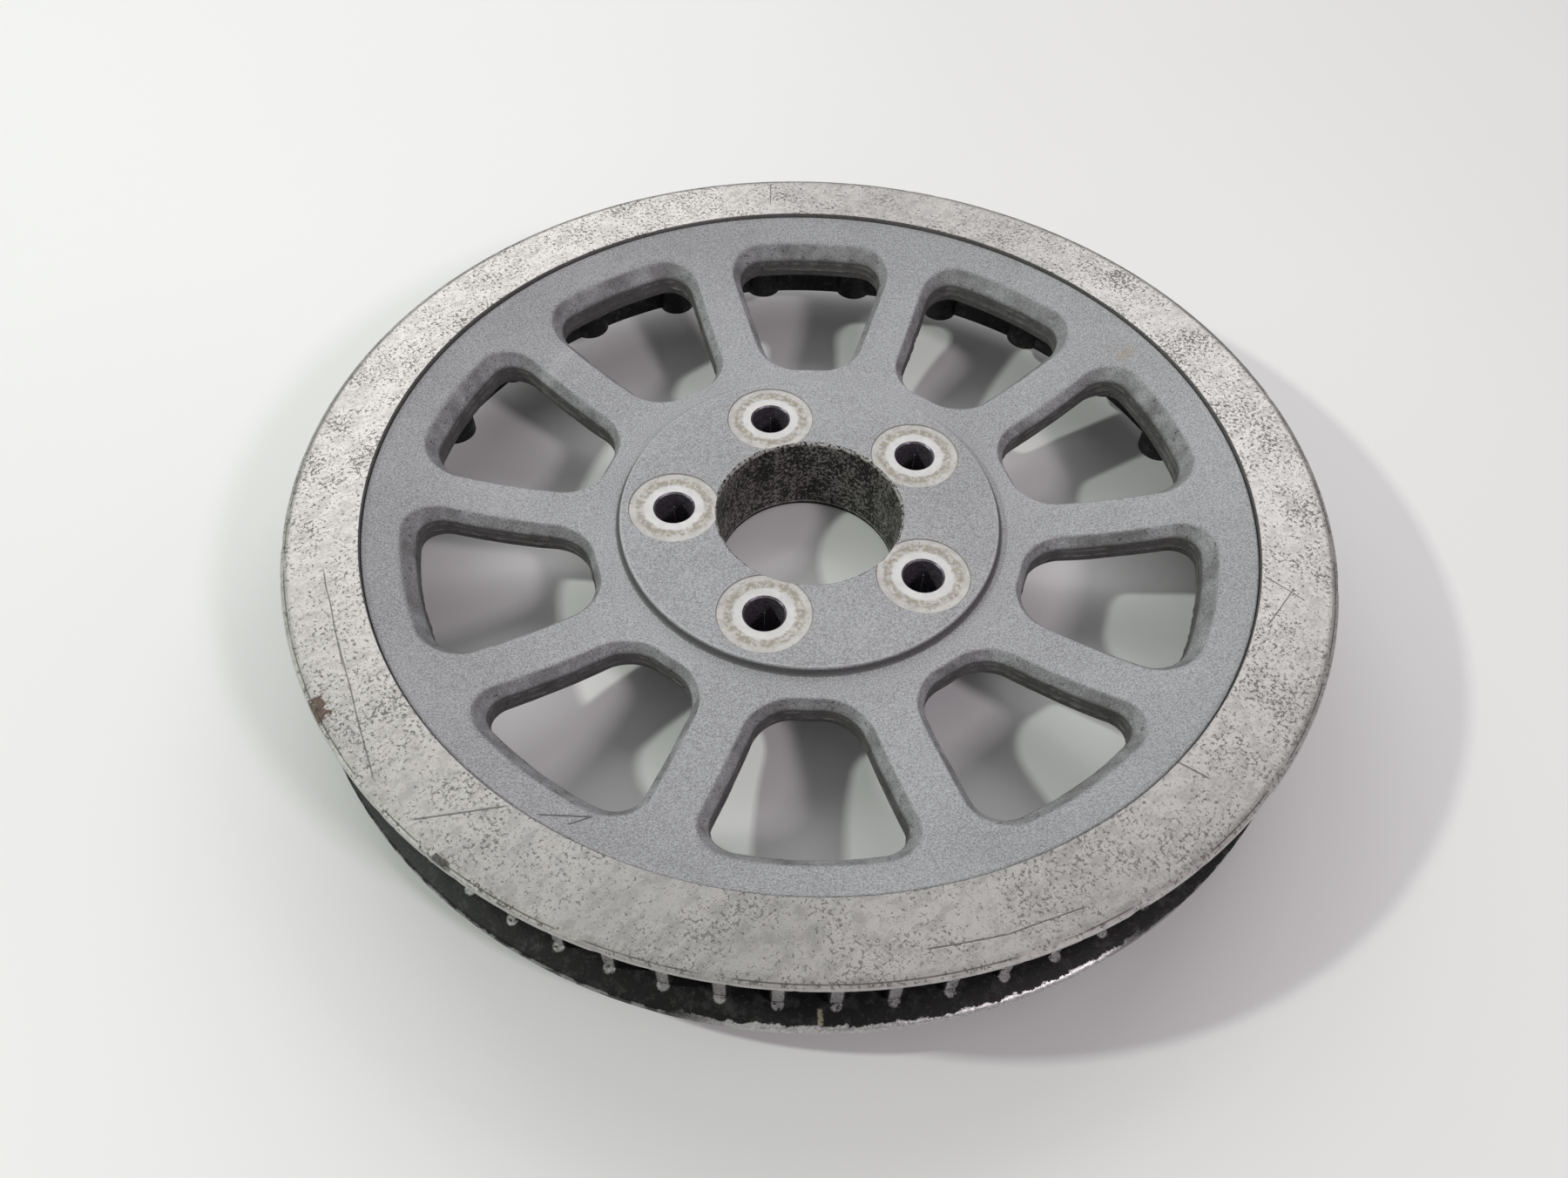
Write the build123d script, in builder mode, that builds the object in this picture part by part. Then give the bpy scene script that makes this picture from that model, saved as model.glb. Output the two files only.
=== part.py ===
from build123d import *
import os
from math import cos, sin, sqrt, radians

os.makedirs("parts", exist_ok=True)

# ---------------------------------------------------------------------------
# Driving dimensions, millimetres.  +Z is the pulley axis, origin in the centre
# of the hub's back face, outer (bare flange) side up.
# ---------------------------------------------------------------------------

# belt and teeth
teeth = 66
tooth_tip_r = 145.6
groove_r = 4.75
groove_centre_r = 145.0
tooth_tip_fillet = 1.0

# hub and bolt circle
hub_length = 29.3
bore_r = 28.25
bore_chamfer = 0.8
barrel_r = 54.0
plateau_r = 57.5
plateau_foot_r = 59.5
bolt_count = 5
bolt_circle_r = 82.55 / 2
bolt_hole_r = 5.9
spot_face_r = 13.85
spot_face_depth = 0.3

# dished web and its windows
web_root_r = 60.0
web_root_z = 26.5
web_edge_r = 129.6
web_edge_z = 43.2
web_thickness = 9.4
window_count = 10
window_inner_r = 67.8
window_outer_r = 116.2
spoke_half_width = 9.05
window_outer_corner = 8.0
window_inner_corner = 12.5
window_bevel_drop = 3.0
window_bevel_width = 2.7

# clamped ledge round the wheel
ledge_r = 137.8
ledge_seat_r = 123.7
ledge_bottom_z = 31.0
ledge_top_z = 40.0

# outer flange ring, bare metal
ring_inner_r = 129.75
ring_outer_r = 151.0
ring_top_z = 44.0
ring_lip_z = 42.0
ring_body_r = 137.9

# toothed rim
rim_socket_r = 138.1
rim_bore_r = 129.9
rim_spigot_r = 139.55
rim_back_z = 13.0
teeth_bottom_z = 17.5

# screw bosses: a heavy one every 45 degrees, two light ones between
heavy_boss_angles = [22.5 + 45 * step for step in range(8)]
heavy_boss_circle_r = 130.3
heavy_boss_r = 6.3
light_boss_angles = [heavy + offset for heavy in heavy_boss_angles for offset in (15, 30)]
light_boss_circle_r = 133.0
light_boss_r = 6.5

# inner flange
back_plate_z = 9.3
back_plate_r = 144.5
flange_outer_r = 151.1
flange_edge_top_z = 15.8
flange_edge_bottom_z = 13.1
flange_bore_r = 139.65

# countersunk screws at the back: heavy ones end in the wheel, light ones in
# the flange ring
heavy_screw_r = 3.0
heavy_screw_head_r = 5.5
heavy_screw_tip_z = 38.0
heavy_socket_width = 4.0
light_screw_r = 2.5
light_screw_head_r = 4.6
light_screw_tip_z = 42.6
light_socket_width = 3.0
screw_socket_depth = 1.6
screw_tip_chamfer = 0.6
clearance = 0.25
thread_fit = 0.05
tapped_depth_margin = 0.4


def web_arc_radius():
    """Radius of the dished front face, level at the hub and rising to the joint."""
    run = web_edge_r - web_root_r
    rise = web_edge_z - web_root_z
    return (run**2 + rise**2) / (2 * rise)


def place_circles(angles, circle_r, radius):
    """Circles of one radius at the given angles on a pitch circle, in the open sketch."""
    for angle in angles:
        with PolarLocations(circle_r, 1, start_angle=angle):
            Circle(radius)


def dish_height(arc_radius, start_z, radius):
    """Height of a dished face, level at the web root, at a given radius."""
    return start_z + arc_radius - sqrt(arc_radius**2 - (radius - web_root_r) ** 2)


# ---------------------------------------------------------------------------
# Spoked wheel: painted casting with hub, dished web, ten windows and the
# thin ledge that is clamped between the flange ring and the toothed rim.
# ---------------------------------------------------------------------------
front_radius = web_arc_radius()
back_radius = front_radius + web_thickness
back_root_z = web_root_z - web_thickness
seat_edge_z = dish_height(back_radius, back_root_z, ledge_seat_r)
mid_r = (web_root_r + web_edge_r) / 2
barrel_top_z = back_root_z - 1.5
edge_round = 0.5

with BuildPart() as spoked_wheel:
    with BuildSketch(Plane.XZ):
        with BuildLine():
            Line((bore_r, bore_chamfer), (bore_r, hub_length - bore_chamfer))
            Line((bore_r, hub_length - bore_chamfer), (bore_r + bore_chamfer, hub_length))
            Line((bore_r + bore_chamfer, hub_length), (plateau_r, hub_length))
            ThreePointArc(
                (plateau_r, hub_length),
                (plateau_r + 0.9, hub_length - 0.5),
                (plateau_r + 1.3, hub_length - 1.4),
            )
            Line((plateau_r + 1.3, hub_length - 1.4), (plateau_foot_r, web_root_z + 0.5))
            Line((plateau_foot_r, web_root_z + 0.5), (web_root_r + 0.6, web_root_z))
            ThreePointArc(
                (web_root_r + 0.6, web_root_z),
                (mid_r, dish_height(front_radius, web_root_z, mid_r)),
                (web_edge_r - edge_round, dish_height(front_radius, web_root_z, web_edge_r - edge_round)),
            )
            Line(
                (web_edge_r - edge_round, dish_height(front_radius, web_root_z, web_edge_r - edge_round)),
                (web_edge_r, web_edge_z - edge_round),
            )
            Line((web_edge_r, web_edge_z - edge_round), (web_edge_r, ledge_top_z))
            Line((web_edge_r, ledge_top_z), (ledge_r, ledge_top_z))
            Line((ledge_r, ledge_top_z), (ledge_r, ledge_bottom_z))
            Line((ledge_r, ledge_bottom_z), (ledge_seat_r, ledge_bottom_z))
            Line((ledge_seat_r, ledge_bottom_z), (ledge_seat_r, seat_edge_z))
            ThreePointArc(
                (ledge_seat_r, seat_edge_z),
                (mid_r, dish_height(back_radius, back_root_z, mid_r)),
                (web_root_r, back_root_z),
            )
            ThreePointArc(
                (web_root_r, back_root_z),
                (barrel_r + 2.4, back_root_z - 1.4),
                (barrel_r + 0.9, back_root_z - 4.5),
            )
            Line((barrel_r + 0.9, back_root_z - 4.5), (barrel_r, 1.0))
            Line((barrel_r, 1.0), (barrel_r - 1.0, 0))
            Line((barrel_r - 1.0, 0), (bore_r + bore_chamfer, 0))
            Line((bore_r + bore_chamfer, 0), (bore_r, bore_chamfer))
        make_face()
    revolve(axis=Axis.Z)

    # windows between the ten parallel-sided spokes
    half_angle = radians(180 / window_count)

    def flank_point(radius):
        """Point at a given radius on the flank of the spoke beside the window on +Y."""
        along = sqrt(radius**2 - spoke_half_width**2)
        x = along * sin(half_angle) - spoke_half_width * cos(half_angle)
        y = along * cos(half_angle) + spoke_half_width * sin(half_angle)
        return (x, y)

    inner_x, inner_y = flank_point(window_inner_r)
    outer_x, outer_y = flank_point(window_outer_r)
    with BuildSketch(mode=Mode.PRIVATE) as window:
        with BuildLine():
            ThreePointArc((-outer_x, outer_y), (0, window_outer_r), (outer_x, outer_y))
            Line((outer_x, outer_y), (inner_x, inner_y))
            ThreePointArc((inner_x, inner_y), (0, window_inner_r), (-inner_x, inner_y))
            Line((-inner_x, inner_y), (-outer_x, outer_y))
        make_face()
        fillet(window.vertices().group_by(Axis.Y)[-1], window_outer_corner)
        fillet(window.vertices().sort_by(Axis.Y)[0:2], window_inner_corner)
    with BuildSketch(Plane.XY):
        with PolarLocations(0, window_count):
            add(window.sketch)
    extrude(amount=web_edge_z + 5, mode=Mode.SUBTRACT)

    # cast bevel round the front edge of every window
    front_face = spoked_wheel.faces().sort_by(SortBy.AREA)[-1]
    window_edges = [edge for wire in front_face.inner_wires() for edge in wire.edges()]
    chamfer(window_edges, window_bevel_width, window_bevel_drop, reference=front_face)

    # bolt holes with shallow spot faces
    with BuildSketch(Plane.XY):
        with PolarLocations(bolt_circle_r, bolt_count, start_angle=36):
            Circle(bolt_hole_r)
    extrude(amount=hub_length, mode=Mode.SUBTRACT)
    with BuildSketch(Plane.XY.offset(hub_length - spot_face_depth)):
        with PolarLocations(bolt_circle_r, bolt_count, start_angle=36):
            Circle(spot_face_r)
    extrude(amount=spot_face_depth + 1, mode=Mode.SUBTRACT)

    # light screws pass through the ledge, heavy ones are threaded into it
    with BuildSketch(Plane.XY.offset(ledge_bottom_z)):
        place_circles(light_boss_angles, light_boss_circle_r, light_screw_r + clearance)
    extrude(amount=ledge_top_z - ledge_bottom_z, mode=Mode.SUBTRACT)
    with BuildSketch(Plane.XY.offset(ledge_bottom_z)):
        place_circles(heavy_boss_angles, heavy_boss_circle_r, heavy_screw_r + thread_fit)
    extrude(amount=heavy_screw_tip_z + tapped_depth_margin - ledge_bottom_z, mode=Mode.SUBTRACT)

spoked_wheel.part.label = "spoked_wheel"
export_step(spoked_wheel.part, "parts/spoked_wheel.step")


# ---------------------------------------------------------------------------
# Outer flange: machined ring seated on the ledge, with a lip that reaches out
# past the tooth tips.
# ---------------------------------------------------------------------------
with BuildPart() as outer_flange:
    with BuildSketch(Plane.XZ):
        with BuildLine():
            Polyline(
                (ring_inner_r, ledge_top_z),
                (ring_inner_r, ring_top_z - 0.25),
                (ring_inner_r + 0.25, ring_top_z),
                (ring_outer_r - 2.1, ring_top_z),
                (ring_outer_r - 0.6, ring_top_z - 0.35),
                (ring_outer_r, ring_top_z - 0.8),
                (ring_outer_r, ring_top_z - 1.4),
                (tooth_tip_r, ring_lip_z),
                (ring_body_r, ring_lip_z),
                (ring_body_r, ledge_top_z),
                (ring_inner_r, ledge_top_z),
            )
        make_face()
    revolve(axis=Axis.Z)

    # blind tapped holes from below
    with BuildSketch(Plane.XY.offset(ledge_top_z)):
        place_circles(light_boss_angles, light_boss_circle_r, light_screw_r + thread_fit)
    extrude(amount=light_screw_tip_z + tapped_depth_margin - ledge_top_z, mode=Mode.SUBTRACT)

outer_flange.part.label = "outer_flange"
export_step(outer_flange.part, "parts/outer_flange.step")


# ---------------------------------------------------------------------------
# Toothed rim: round-bottomed belt grooves outside, half-round screw bosses
# inside, a socket on top for the ledge and a spigot below for the flange.
# ---------------------------------------------------------------------------
with BuildPart() as toothed_rim:
    with BuildSketch(Plane.XY.offset(teeth_bottom_z)) as tooth_outline:
        Circle(tooth_tip_r)
        with PolarLocations(groove_centre_r, teeth, start_angle=180 / teeth):
            Circle(groove_r, mode=Mode.SUBTRACT)
        fillet(tooth_outline.vertices(), tooth_tip_fillet)
    extrude(amount=ring_lip_z - teeth_bottom_z)
    with BuildSketch(Plane.XY.offset(rim_back_z)):
        Circle(rim_spigot_r)
    extrude(amount=teeth_bottom_z - rim_back_z + 1)

    # bore of the rim and the socket that takes the ledge
    with BuildSketch(Plane.XY.offset(rim_back_z)):
        Circle(rim_bore_r)
    extrude(amount=ring_lip_z - rim_back_z, mode=Mode.SUBTRACT)
    with BuildSketch(Plane.XY.offset(ledge_bottom_z)):
        Circle(rim_socket_r)
    extrude(amount=ring_lip_z - ledge_bottom_z, mode=Mode.SUBTRACT)

    # screw bosses
    with BuildSketch(Plane.XY.offset(rim_back_z)):
        place_circles(heavy_boss_angles, heavy_boss_circle_r, heavy_boss_r)
        place_circles(light_boss_angles, light_boss_circle_r, light_boss_r)
    extrude(amount=ledge_bottom_z - rim_back_z)
    with BuildSketch(Plane.XY.offset(rim_back_z)):
        place_circles(heavy_boss_angles, heavy_boss_circle_r, heavy_screw_r + clearance)
        place_circles(light_boss_angles, light_boss_circle_r, light_screw_r + clearance)
    extrude(amount=ledge_bottom_z - rim_back_z, mode=Mode.SUBTRACT)

toothed_rim.part.label = "toothed_rim"
export_step(toothed_rim.part, "parts/toothed_rim.step")


# ---------------------------------------------------------------------------
# Inner flange: ring that guides the belt, with a back plate whose inner edge
# follows the screw bosses and is countersunk for the screw heads.
# ---------------------------------------------------------------------------
with BuildPart() as inner_flange:
    with BuildSketch(Plane.XZ):
        with BuildLine():
            Polyline(
                (flange_bore_r, rim_back_z),
                (flange_bore_r, teeth_bottom_z),
                (tooth_tip_r + 0.2, teeth_bottom_z),
                (flange_outer_r, flange_edge_top_z),
                (flange_outer_r, flange_edge_bottom_z),
                (back_plate_r + 0.5, flange_edge_bottom_z - 0.6),
                (back_plate_r, back_plate_z + 0.6),
                (back_plate_r - 0.6, back_plate_z),
                (rim_bore_r, back_plate_z),
                (rim_bore_r, rim_back_z),
                (flange_bore_r, rim_back_z),
            )
        make_face()
    revolve(axis=Axis.Z)
    with BuildSketch(Plane.XY.offset(back_plate_z)):
        place_circles(heavy_boss_angles, heavy_boss_circle_r, heavy_boss_r)
        place_circles(light_boss_angles, light_boss_circle_r, light_boss_r)
    extrude(amount=rim_back_z - back_plate_z)

    # screw holes with countersinks opening at the back
    with BuildSketch(Plane.XY.offset(back_plate_z)):
        place_circles(heavy_boss_angles, heavy_boss_circle_r, heavy_screw_r + clearance)
        place_circles(light_boss_angles, light_boss_circle_r, light_screw_r + clearance)
    extrude(amount=rim_back_z - back_plate_z, mode=Mode.SUBTRACT)
    with BuildSketch(Plane.XY.offset(back_plate_z)):
        place_circles(heavy_boss_angles, heavy_boss_circle_r, heavy_screw_head_r + thread_fit)
    extrude(amount=heavy_screw_head_r - heavy_screw_r, taper=45, mode=Mode.SUBTRACT)
    with BuildSketch(Plane.XY.offset(back_plate_z)):
        place_circles(light_boss_angles, light_boss_circle_r, light_screw_head_r + thread_fit)
    extrude(amount=light_screw_head_r - light_screw_r, taper=45, mode=Mode.SUBTRACT)

inner_flange.part.label = "inner_flange"
export_step(inner_flange.part, "parts/inner_flange.step")


# ---------------------------------------------------------------------------
# Screws: countersunk head flush with the back plate, hexagon socket, plain
# shank up through the boss.
# ---------------------------------------------------------------------------
def export_screw(name, angle, circle_r, shank_r, head_r, tip_z, socket_width):
    """Build one countersunk screw on its pitch circle and write it out."""
    with BuildPart() as screw:
        with BuildSketch(Plane.XY.offset(back_plate_z)):
            place_circles([angle], circle_r, head_r)
        extrude(amount=head_r - shank_r, taper=45)
        with BuildSketch(Plane.XY.offset(back_plate_z + 1)):
            place_circles([angle], circle_r, shank_r)
        extrude(amount=tip_z - back_plate_z - 1)
        chamfer(screw.edges().sort_by(Axis.Z)[-1], screw_tip_chamfer)
        with BuildSketch(Plane.XY.offset(back_plate_z)):
            with PolarLocations(circle_r, 1, start_angle=angle):
                RegularPolygon(socket_width / 2, 6, major_radius=False)
        extrude(amount=screw_socket_depth, mode=Mode.SUBTRACT)
    screw.part.label = name
    export_step(screw.part, f"parts/{name}.step")


for index, angle in enumerate(heavy_boss_angles):
    export_screw(
        f"rim_screw_{index + 1:02d}",
        angle,
        heavy_boss_circle_r,
        heavy_screw_r,
        heavy_screw_head_r,
        heavy_screw_tip_z,
        heavy_socket_width,
    )

for index, angle in enumerate(light_boss_angles):
    export_screw(
        f"flange_screw_{index + 1:02d}",
        angle,
        light_boss_circle_r,
        light_screw_r,
        light_screw_head_r,
        light_screw_tip_z,
        light_socket_width,
    )
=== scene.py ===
import math
import bmesh
import bpy
import numpy as np
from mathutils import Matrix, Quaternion, Vector, noise


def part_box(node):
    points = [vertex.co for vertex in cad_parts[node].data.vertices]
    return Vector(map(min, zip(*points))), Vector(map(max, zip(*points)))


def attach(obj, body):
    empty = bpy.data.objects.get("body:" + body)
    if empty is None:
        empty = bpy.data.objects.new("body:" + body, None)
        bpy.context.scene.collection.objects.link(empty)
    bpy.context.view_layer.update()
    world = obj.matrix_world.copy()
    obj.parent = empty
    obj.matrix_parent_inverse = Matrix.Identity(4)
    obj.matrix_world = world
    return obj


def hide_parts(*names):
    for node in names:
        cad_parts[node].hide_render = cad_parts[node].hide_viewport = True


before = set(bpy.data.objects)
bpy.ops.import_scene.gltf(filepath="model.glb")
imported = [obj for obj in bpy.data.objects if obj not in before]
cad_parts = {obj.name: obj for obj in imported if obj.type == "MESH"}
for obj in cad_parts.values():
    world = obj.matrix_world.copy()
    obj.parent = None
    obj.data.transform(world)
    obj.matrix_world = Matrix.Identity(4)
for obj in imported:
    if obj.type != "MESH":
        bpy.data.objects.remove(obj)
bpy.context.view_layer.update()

# ---------------------------------------------------------------------------
# Web of the spoked wheel: the dished outer part of an aluminium casting, with
# ten windows between parallel-sided spokes and a thin ledge round its edge
# that is clamped under the flange ring. Sand-textured silver-grey paint.
# ---------------------------------------------------------------------------
window_count = 10
half_sector = math.pi / window_count
web_root_r = 0.0606
web_root_z = 0.0265
web_under_root_r = 0.0600
web_root_middle = (0.0603, 0.0220)
web_thickness = 0.0094
dish_root_r = 0.0600
dish_edge_r = 0.1296
face_edge_r = 0.1291
dish_edge_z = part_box("spoked_wheel")[1].z
ledge_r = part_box("spoked_wheel")[1].x
ledge_top_z = 0.0400
ledge_bottom_z = 0.0310
ledge_seat_r = 0.1237
window_inner_r = 0.0678
window_outer_r = 0.1162
spoke_half_width = 0.00905
outer_corner = 0.0080
inner_corner = 0.0125
inner_fan = 2.2
bevel_drop = 0.0031
bevel_widths = (0.0019, 0.0025, 0.0036)
bevel_reach = 1.35
back_round = 0.0012
recess_at_flash = 1.6


def dish_height(r, drop=0.0):
    """Height of the dished front face, or of the back face one thickness below."""
    run = dish_edge_r - dish_root_r
    rise = dish_edge_z - web_root_z
    sweep = (run**2 + rise**2) / (2 * rise) + drop
    return web_root_z - drop + sweep - math.sqrt(sweep**2 - (r - dish_root_r) ** 2)


def polar(r, angle):
    """Point in plan at a radius and an angle."""
    return np.array((r * math.cos(angle), r * math.sin(angle)))


def window_side(outer_boundary_r, inner_boundary_r):
    """One side of a window from its inner to its outer end, as steps of four values.

    They are the edge point, the direction into the metal, the matching point on the
    sector's boundary, and the nearness: 0 at the inner end, 1 along the spoke and 2 at
    the outer end.
    """
    along = polar(1, half_sector)
    inward = np.array((along[1], -along[0]))
    inner_offset = spoke_half_width + inner_corner
    outer_offset = spoke_half_width + outer_corner
    inner_s = math.sqrt((window_inner_r + inner_corner) ** 2 - inner_offset**2)
    outer_s = math.sqrt((window_outer_r - outer_corner) ** 2 - outer_offset**2)
    inner_centre = inner_s * along + inner_offset * inward
    outer_centre = outer_s * along + outer_offset * inward
    inner_turn = math.atan2(inner_centre[1], inner_centre[0])
    outer_turn = math.atan2(outer_centre[1], outer_centre[0])
    square = half_sector + math.pi / 2
    inner_mid = (inner_turn + math.pi + square) / 2
    outer_mid = (outer_turn + square) / 2
    steps = []

    def sweep(count, edge, into, boundary, nearness):
        for k in range(0 if not steps else 1, count + 1):
            t = k / count
            steps.append((edge(t), into(t), boundary(t), nearness(t)))

    def blend(a, b):
        return lambda t: a + (b - a) * t

    turn = blend(0.0, inner_turn)
    sweep(2, lambda t: polar(window_inner_r, turn(t)), lambda t: -polar(1, turn(t)),
          lambda t: polar(inner_boundary_r, inner_fan * turn(t)), lambda t: 0.0)
    first = blend(inner_turn + math.pi, inner_mid)
    reach = blend(inner_fan * inner_turn, half_sector)
    sweep(10, lambda t: inner_centre + polar(inner_corner, first(t)),
          lambda t: polar(1, first(t)),
          lambda t: polar(inner_boundary_r, reach(t)), blend(0.0, 0.3))
    second = blend(inner_mid, square)
    rise = blend(inner_boundary_r, inner_s)
    sweep(10, lambda t: inner_centre + polar(inner_corner, second(t)),
          lambda t: polar(1, second(t)),
          lambda t: rise(t) * along, blend(0.3, 1.0))
    run = blend(inner_s, outer_s)
    sweep(26, lambda t: run(t) * along + spoke_half_width * inward, lambda t: -inward,
          lambda t: run(t) * along, blend(1.0, 1.1))
    third = blend(square, outer_mid)
    climb = blend(outer_s, outer_boundary_r)
    sweep(9, lambda t: outer_centre + polar(outer_corner, third(t)), lambda t: polar(1, third(t)),
          lambda t: climb(t) * along, blend(1.1, 1.6))
    fourth = blend(outer_mid, outer_turn)
    close = blend(half_sector, outer_turn)
    sweep(9, lambda t: outer_centre + polar(outer_corner, fourth(t)), lambda t: polar(1, fourth(t)),
          lambda t: polar(outer_boundary_r, close(t)), blend(1.6, 2.0))
    last = blend(outer_turn, 0.0)
    sweep(20, lambda t: polar(window_outer_r, last(t)), lambda t: polar(1, last(t)),
          lambda t: polar(outer_boundary_r, last(t)), lambda t: 2.0)
    return steps


def window_loop(outer_boundary_r, inner_boundary_r):
    """The whole window: one side, then its mirror image back to the start."""
    side = window_side(outer_boundary_r, inner_boundary_r)
    flip = np.array((1.0, -1.0))
    mirrored = [(e * flip, i * flip, b * flip, n) for e, i, b, n in reversed(side[1:-1])]
    return side + mirrored


def grid_faces(rows, columns, closed):
    """Quads between the rows of a grid of points."""
    last = columns if closed else columns - 1
    return [(r * columns + c, r * columns + (c + 1) % columns,
             (r + 1) * columns + (c + 1) % columns, (r + 1) * columns + c)
            for r in range(rows - 1) for c in range(last)]


def wheel_sector():
    """Points, faces and recess depth of the web round one window."""
    top = window_loop(face_edge_r, web_root_r)
    under = window_loop(ledge_seat_r, web_under_root_r)
    points, depth = [], []

    def width(nearness):
        """Width of the bevel: narrow at the hub end and wide at the rim end."""
        low, mid, high = bevel_widths
        if nearness < 1:
            return low + (mid - low) * nearness
        return mid + (high - mid) * (nearness - 1)

    def row(source, place, recess):
        for step in source:
            plan, height = place(*step)
            points.append((plan[0], plan[1], height))
            depth.append(recess)

    def front(share):
        """Row on the front face, share 1 at the bevel's start and 0 at the boundary."""
        def place(edge, into, boundary, nearness):
            near = edge + into * width(nearness) * bevel_reach
            plan = boundary + (near - boundary) * share
            return plan, dish_height(np.hypot(*plan))
        return place

    def bevel(across, drop):
        """Row on the rounded bevel, by shares of its width and of its drop."""
        def place(edge, into, boundary, nearness):
            plan = edge + into * width(nearness) * across
            return plan, dish_height(np.hypot(*plan)) - bevel_drop * drop
        return place

    def wall(fall, set_back):
        """Row on the window's wall, share fall of the way down."""
        def place(edge, into, boundary, nearness):
            r = np.hypot(*edge)
            high = dish_height(r) - bevel_drop
            low = dish_height(r, web_thickness)
            return edge + into * set_back, high + (low - high) * fall
        return place

    def back_edge(distance, lift):
        """Row on the small radius between the wall and the back face."""
        def place(edge, into, boundary, nearness):
            plan = edge + into * distance
            return plan, dish_height(np.hypot(*plan), web_thickness) + lift
        return place

    def back_face(share):
        """Row on the back face, share 0 at the wall's radius and 1 at the boundary."""
        def place(edge, into, boundary, nearness):
            near = edge + into * back_round
            plan = near + (boundary - near) * share
            return plan, dish_height(np.hypot(*plan), web_thickness)
        return place

    for share in (0, 0.15, 0.32, 0.5, 0.66, 0.8, 0.9, 0.96, 1.0):
        row(top, front(share), 0.0)
    for across, drop, recess in (
            (1.22, 0.004, 0.1), (1.1, 0.025, 0.3), (1.0, 0.075, 0.6), (0.9, 0.15, 0.9),
            (0.78, 0.26, 1.0), (0.6, 0.44, 1.0), (0.4, 0.64, 1.0), (0.22, 0.82, 1.05),
            (0.1, 0.95, 1.15)):
        row(top, bevel(across, drop), recess)
    for fall, set_back, recess in (
            (0.03, 0.0001, 1.3), (0.1, 0.0, 1.5), (0.35, 0.0, 1.7), (0.52, -0.00005, 1.75),
            (0.565, -0.0003, recess_at_flash), (0.60, -0.0003, recess_at_flash),
            (0.64, -0.00002, 1.85), (0.8, 0.0, 2.0), (0.93, 0.00008, 2.0)):
        row(top, wall(fall, set_back), recess)
    for distance, lift in ((0.0002, 0.0002), (0.0005, 0.00006), (0.0009, 0.0)):
        row(under, back_edge(distance, lift), 2.0)
    for share in (0, 0.12, 0.3, 0.55, 0.8, 1.0):
        row(under, back_face(share), 2.0)

    columns = len(top)
    faces = grid_faces(len(points) // columns, columns, True)

    def ring_strip(profile):
        """Close the sector along its round inner or outer side with a turned profile."""
        side_r = profile[0][0]
        turns = sorted({round(math.atan2(b[1], b[0]), 9) for _, _, b, _ in top
                        if abs(np.hypot(*b) - side_r) < 1e-7})
        start = len(points)
        for radius, height in profile:
            for turn in turns:
                plan = polar(radius, turn)
                points.append((plan[0], plan[1], height))
                depth.append(0.0)
        strip = grid_faces(len(profile), len(turns), False)
        faces.extend(tuple(start + i for i in f) for f in strip)

    edge_z = dish_height(face_edge_r)
    ring_strip([(face_edge_r, edge_z), (0.12945, edge_z - 0.0001), (dish_edge_r, edge_z - 0.0004),
                (dish_edge_r, ledge_top_z), (ledge_r, ledge_top_z), (ledge_r, ledge_bottom_z),
                (ledge_seat_r, ledge_bottom_z),
                (ledge_seat_r, dish_height(ledge_seat_r, web_thickness))])
    ring_strip([(web_root_r, dish_height(web_root_r)), web_root_middle,
                (web_under_root_r, dish_height(web_under_root_r, web_thickness))])
    return points, faces, depth


def new_piece(name, points, faces):
    """A mesh object in the scene, its place in its mesh."""
    mesh = bpy.data.meshes.new(name)
    mesh.from_pydata([tuple(p) for p in points], [], faces)
    piece = bpy.data.objects.new(name, mesh)
    bpy.context.scene.collection.objects.link(piece)
    return piece


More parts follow.
